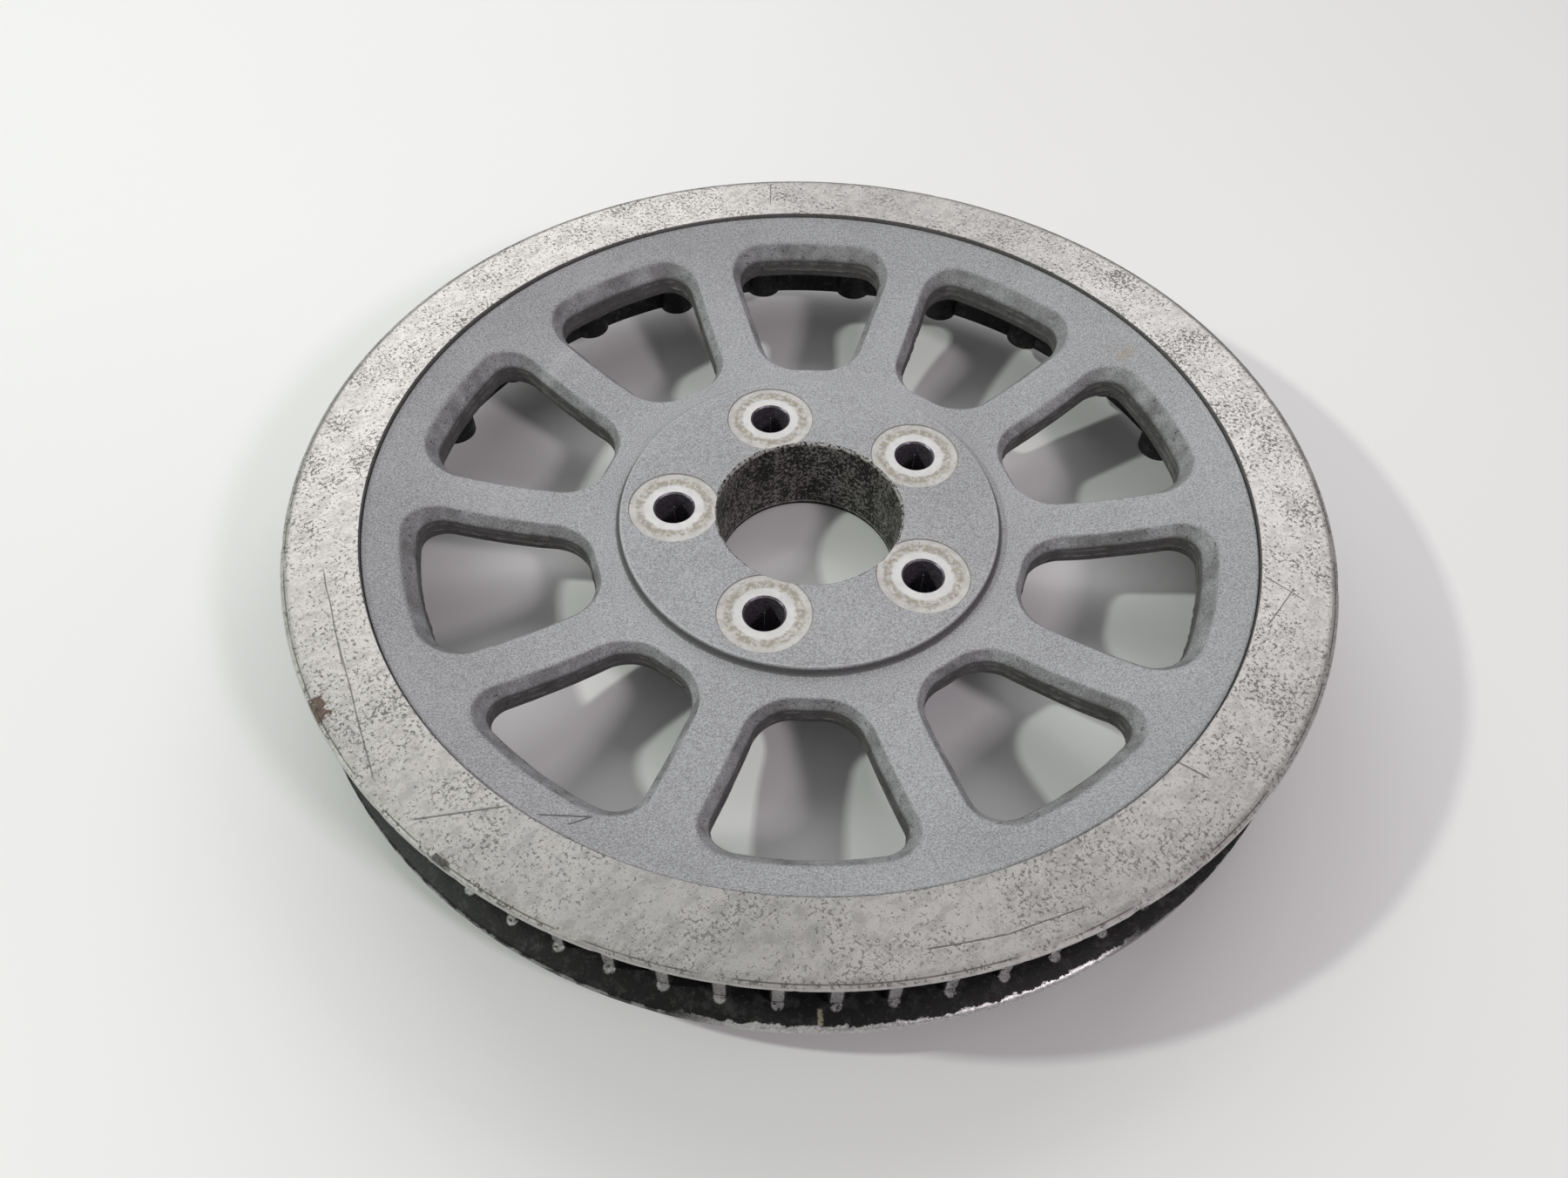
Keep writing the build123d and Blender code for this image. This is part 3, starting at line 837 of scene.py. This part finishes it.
def tooth_block():
    """One pitch of the toothed band: outline rows up the tooth, then the inner wall."""
    full = tooth_outline(0)
    rows = [[(x, y, tooth_low_z + lift) for x, y in tooth_outline(shrink)]
            for lift, shrink in ((0, 0.30), (0.0003, 0.12), (0.0008, 0.03), (0.0015, 0.0))]
    rows.append([(x, y, tooth_top_z) for x, y in full])
    for z in (tooth_top_z, tooth_low_z):
        rows.append([(*polar(socket_r, math.atan2(y, x)), z) for x, y in full])
    columns = len(full)
    faces = grid_faces(len(rows), columns, False)
    last = (len(rows) - 1) * columns
    faces += [(last + c, last + c + 1, c + 1, c) for c in range(columns - 1)]
    return [point for row in rows for point in row], faces


def off_tooth(look):
    """Distance along the rim from the middle of the nearest tooth."""
    folded = look.y.maths("ARCTAN2", look.x).maths("WRAP", half_pitch, -half_pitch)
    return (folded * look.radius).maths("ABSOLUTE")


def black_coating(name, land_r=None, lip=False):
    """Black coating, mottled with grey dust, worn bare on the lands or chipped along a lip."""
    shine = {"Specular IOR Level": 0.25}
    look = Look(name)
    mottle = look.noise(0.004, 4.0, 0.7)
    grain = look.noise(0.0009, 3.0, 0.65)
    color = look.mix(mottle.step(0.50, 0.68), grey(0.006), grey(0.034))
    color = look.mix(grain.step(0.58, 0.70) * 0.4, color, grey(0.09))
    worn = None
    if land_r:
        wobble = (look.noise(0.002, 3.0) - 0.5) * 0.0022
        land = 1 - (off_tooth(look) + wobble).step(0.0013, 0.0020)
        worn = look.radius.step(land_r, land_r + 0.0001) * land
        worn = worn * look.noise(0.0011, 3.0, 0.7).step(0.34, 0.46)
    if lip:
        side = (look.y.maths("ARCTAN2", look.x) - math.radians(-79)).maths("ABSOLUTE")
        strong = 1 - side.step(0.28, 0.42)
        ragged = (look.noise(0.004, 5.0, 0.75) - 0.5) * 0.0045
        chips = (look.radius - 0.1502 + ragged).step(0.0, 0.0002) * strong
        thin = look.radius.step(0.15088, 0.15096) * look.noise(0.004, 3.0).step(0.46, 0.54) * 0.4
        worn = chips.maths("MAXIMUM", thin) * look.noise(0.0012, 3.0, 0.7).step(0.26, 0.36)
        off, out = off_tooth(look), look.radius - tooth_tip_r
        tips = 1 - (off * off + out * out).maths("SQRT").step(0.0012, 0.0018)
        tips = tips * look.noise(0.0011, 3.0, 0.7).step(0.38, 0.50) * out.step(-0.0004, -0.0002)
        worn = worn.maths("MAXIMUM", tips * look.z.step(0.0160, 0.0162) * 0.8)
        blot_x = (look.x - 0.0032).maths("ABSOLUTE") + (look.noise(0.002, 3.0) - 0.5) * 0.0015
        blotch = (1 - blot_x.step(0.0003, 0.0009)) * look.radius.around(0.1483, 0.0014, 0.0008)
        blotch = blotch * look.z.step(0.0150, 0.0155) * (1 - look.y.step(-0.1, 0.0))
        color = look.mix(blotch * grain.step(0.35, 0.5) * 0.8, color, (0.42, 0.39, 0.27, 1))
    if worn is None:
        return look.finish(color, 0.45 + 0.2 * mottle, 0.0, grain, relief=0.0002, strength=0.5,
                           **shine)
    bare = look.mix(grain.step(0.35, 0.65), grey(0.36, 0.01), grey(0.66, 0.01))
    color = look.mix(worn, color, bare)
    return look.finish(color, 0.50 - 0.12 * worn, 0.6 * worn, grain - worn * 0.5,
                       relief=0.00015, strength=0.5, **shine)


band = new_piece("tooth_band", *tooth_block())
worn_black = black_coating("worn_black", land_r=tooth_tip_r - 0.0001)
repeat_round(band, tooth_count, 0.0, worn_black)
tidy_surface(band, 40)

boss_count = 24
boss_step = 2 * math.pi / boss_count
boss_lead = math.radians(22.5)
heavy_every = 3
heavy_circle_r = 0.1303
heavy_boss_r = 0.0063
light_circle_r = 0.1330
light_boss_r = 0.0065
rim_bore_r = 0.1299


def lobed_turns():
    """Angles for the lobed edge, close together on the bosses, each with its boss if any."""
    turns = []
    for boss in range(boss_count):
        centre = boss_lead + boss * boss_step
        heavy = boss % heavy_every == 0
        circle_r = heavy_circle_r if heavy else light_circle_r
        boss_r = heavy_boss_r if heavy else light_boss_r
        reach = math.acos((rim_bore_r**2 + circle_r**2 - boss_r**2) / (2 * rim_bore_r * circle_r))
        for k in range(-12, 13):
            turn = centre + reach * math.sin(k / 12 * math.pi / 2)
            turns.append((turn, circle_r, boss_r, centre))
        gap = boss_step - 2 * reach
        turns.extend((centre + reach + gap * k / 6, None, None, 0) for k in range(1, 6))
    return turns


def lobed_radius(turn, circle_r, boss_r, centre):
    """Radius of the lobed inner edge at a turn."""
    if circle_r is None:
        return rim_bore_r
    delta = turn - centre
    inside = max(0.0, boss_r**2 - (circle_r * math.sin(delta)) ** 2)
    return min(rim_bore_r, circle_r * math.cos(delta) - math.sqrt(inside))


def lobed_ring(profile):
    """A ring of (radius, height, widening); a radius of None is the edge along the bosses."""
    turns = lobed_turns()
    points = []
    for r, z, widening in profile:
        for turn in turns:
            radius = lobed_radius(*turn) + widening if r is None else r
            points.append((*polar(radius, turn[0]), z))
    columns = len(turns)
    faces = grid_faces(len(profile), columns, True)
    last = (len(profile) - 1) * columns
    faces += [(last + k, last + (k + 1) % columns, (k + 1) % columns, k) for k in range(columns)]
    return points, faces


boss_ring = new_piece("boss_ring", *lobed_ring([
    (None, rim_low_z, 0), (None, 0.0200, 0), (None, ledge_bottom_z - 0.0003, 0),
    (None, ledge_bottom_z, 0.0003), (socket_r, ledge_bottom_z, 0), (socket_r, tooth_low_z, 0),
    (spigot_r, tooth_low_z, 0), (spigot_r, rim_low_z, 0)]))
boss_ring.data.materials.append(black_coating("boss_black"))
tidy_surface(boss_ring, 40)
for piece in (band, boss_ring):
    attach(piece, "root")
    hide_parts("toothed_rim")

# ---------------------------------------------------------------------------
# Inner flange: black-coated ring screwed to the rim's back. Its inner edge
# follows the bosses and its outer lip has lost its coating in chips.
# ---------------------------------------------------------------------------
back_low, back_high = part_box("inner_flange")
back_z = back_low.z
back_seat_r = spigot_r + 0.0001
back_top_z = tooth_low_z - 0.00005
hole_end_z = 0.0312
back_plate = new_piece("back_flange", *lobed_ring([
    (None, back_z, 0.0004), (None, back_z + 0.0004, 0), (None, rim_low_z, 0),
    (back_seat_r, rim_low_z, 0), (back_seat_r, back_top_z, 0), (0.1456, back_top_z, 0),
    (0.1480, 0.01675, 0), (0.1502, 0.01610, 0), (0.1508, 0.01586, 0), (back_high.x, 0.01555, 0),
    (back_high.x, 0.01345, 0), (0.1508, 0.01318, 0), (0.1498, 0.01300, 0), (0.1450, 0.01250, 0),
    (0.14455, 0.01200, 0), (0.1445, 0.0099, 0), (0.1439, back_z, 0)]))
tidy_surface(back_plate, 35)
back_plate.data.materials.append(black_coating("chipped_black", lip=True))
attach(back_plate, "root")

heavy_screw = {"circle_r": heavy_circle_r, "head_r": 0.0055, "shank_r": 0.0030}
light_screw = {"circle_r": light_circle_r, "head_r": 0.0046, "shank_r": 0.0025}


def countersink(turn, circle_r, head_r, shank_r):
    """The cutter for one screw's hole, standing on its circle at an angle."""
    cone_end_z = back_z + head_r - shank_r
    hole_r = shank_r + 0.0002
    points, faces = lathe([
        (0.0001, back_z - 0.001), (head_r + 0.0011, back_z - 0.001), (head_r + 0.0001, back_z),
        (hole_r, cone_end_z), (hole_r, hole_end_z), (0.0001, hole_end_z)], 32)
    centre = polar(circle_r, turn)
    return [(x + centre[0], y + centre[1], z) for x, y, z in points], faces


sink_points, sink_faces = [], []
for boss in range(boss_count):
    size = light_screw if boss % heavy_every else heavy_screw
    points, faces = countersink(boss_lead + boss * boss_step, **size)
    sink_faces += [tuple(len(sink_points) + i for i in f) for f in faces]
    sink_points += points
sink = new_piece("countersinks", sink_points, sink_faces)
tidy_surface(sink, 30)
for piece in (back_plate, boss_ring):
    cut = piece.modifiers.new("Screw holes", "BOOLEAN")
    cut.object = sink
    cut.solver = "EXACT"
    settle(piece)
    tidy_surface(piece, 35)
bpy.data.objects.remove(sink)
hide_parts("inner_flange")

# ---------------------------------------------------------------------------
# Screws: countersunk steel screws with hexagon sockets, eight heavy ones into
# the wheel's ledge and sixteen light ones up into the flange ring. Dull zinc.
# ---------------------------------------------------------------------------


def screw_body(circle_r, head_r, shank_r, across, tip_z):
    """One screw standing at angle 0: head flush with the back plate, six-sided socket."""
    sides = 24
    socket_depth = 0.0016
    tip_chamfer = 0.0006
    cone_end_z = back_z + head_r - shank_r
    rows = [(None, back_z + socket_depth), (None, back_z + 0.00005), (head_r - 0.0002, back_z),
            (head_r, back_z + 0.0002), (shank_r + 0.0001, cone_end_z),
            (shank_r, cone_end_z + 0.0004), (shank_r, tip_z - tip_chamfer),
            (shank_r - tip_chamfer, tip_z)]
    points = []
    for r, z in rows:
        for k in range(sides):
            angle = 2 * math.pi * k / sides
            within = (angle % (math.pi / 3)) - math.pi / 6
            radius = across / 2 / math.cos(within) if r is None else r
            points.append((circle_r + radius * math.cos(angle), radius * math.sin(angle), z))
    faces = grid_faces(len(rows), sides, True)
    faces.append(tuple(range(sides)))
    faces.append(tuple(range((len(rows) - 1) * sides, len(rows) * sides)))
    return points, faces


def screw_steel():
    """Dull zinc, made near-black from just above the head's face upwards, inside the socket and
    along the shank.
    """
    look = Look("screw_steel")
    patch = look.noise(0.0022, 4.0, 0.6)
    color = look.mix(patch.step(0.3, 0.7), grey(0.22, 0.02), grey(0.42, 0.02))
    color = look.mix((look.z - back_z).step(0.0002, 0.0012) * 0.8, color, grey(0.03, 0.05))
    return look.finish(color, 0.38 + 0.25 * patch, 0.9, patch, relief=0.0001, strength=0.4)


zinc = screw_steel()
heavy_body = screw_body(**heavy_screw, across=0.0040, tip_z=0.0380)
light_body = screw_body(**light_screw, across=0.0030, tip_z=0.0426)
for name, body, bosses_on, nodes in (
        ("heavy_screws", heavy_body, 0, [f"rim_screw_{k:02d}" for k in range(1, 9)]),
        ("light_screws_1", light_body, 1, [f"flange_screw_{k:02d}" for k in range(1, 17, 2)]),
        ("light_screws_2", light_body, 2, [f"flange_screw_{k:02d}" for k in range(2, 17, 2)])):
    screws = new_piece(name, *body)
    repeat_round(screws, boss_count // heavy_every, boss_lead + bosses_on * boss_step, zinc)
    tidy_surface(screws, 30)
    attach(screws, "root")
    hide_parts(*nodes)

# ---------------------------------------------------------------------------
# Stage: a pale laminate table top, a small lamp to the left, a larger one to
# the near right, two soft windows behind, a pale room, and the camera above
# the near edge.
# ---------------------------------------------------------------------------
floor_half = 3.0
floor_corners = [(-floor_half, -floor_half, 0), (floor_half, -floor_half, 0),
                 (floor_half, floor_half, 0), (-floor_half, floor_half, 0)]
floor = new_piece("floor", floor_corners, [(0, 1, 2, 3)])
laminate = Look("pale_laminate")
laminate_color = laminate.mix(laminate.noise(0.2, 2.0), grey(0.84), grey(0.87))
floor.data.materials.append(laminate.finish(laminate_color, 0.5))


def lamp(name, place, size, power, color):
    """A square soft lamp aimed at the middle of the pulley's back."""
    light = bpy.data.lights.new(name, "AREA")
    light.size = size
    light.energy = power
    light.color = color
    holder = bpy.data.objects.new(name, light)
    holder.location = place
    holder.rotation_euler = (-Vector(place)).to_track_quat("-Z", "Y").to_euler()
    bpy.context.scene.collection.objects.link(holder)


lamp("lamp_left", (-1.05, -0.117, 0.93), 0.07, 7.6, (0.93, 1.0, 0.91))
lamp("lamp_right", (0.78, -0.70, 0.94), 0.18, 5.2, (1.0, 0.90, 0.95))
lamp("window_left", (-0.46, 1.10, 1.02), 1.10, 7.3, (1.0, 0.99, 0.98))
lamp("window_right", (0.55, 0.98, 1.12), 0.70, 4.0, (1.0, 0.985, 0.99))
room = bpy.data.worlds.new("pale_room")
room.use_nodes = True
room_light = room.node_tree.nodes["Background"].inputs
room_light["Color"].default_value = grey(1.0)
room_light["Strength"].default_value = 0.26
bpy.context.scene.world = room

camera_data = bpy.data.cameras.new("camera")
camera_data.sensor_width = 36
camera_data.lens = 26.8071
camera = bpy.data.objects.new("camera", camera_data)
camera.location = (-0.00942, -0.23590, 0.29716)
aim_point = Vector((-0.00731, -0.03114, 0.030))
camera_roll = math.radians(1.7907)
camera_turn = (aim_point - camera.location).to_track_quat("-Z", "Y")
camera.rotation_mode = "QUATERNION"
camera.rotation_quaternion = camera_turn @ Quaternion((0, 0, 1), camera_roll)
camera_data.clip_start = 0.01
bpy.context.scene.collection.objects.link(camera)
bpy.context.scene.camera = camera
bpy.context.scene.view_settings.view_transform = "Standard"
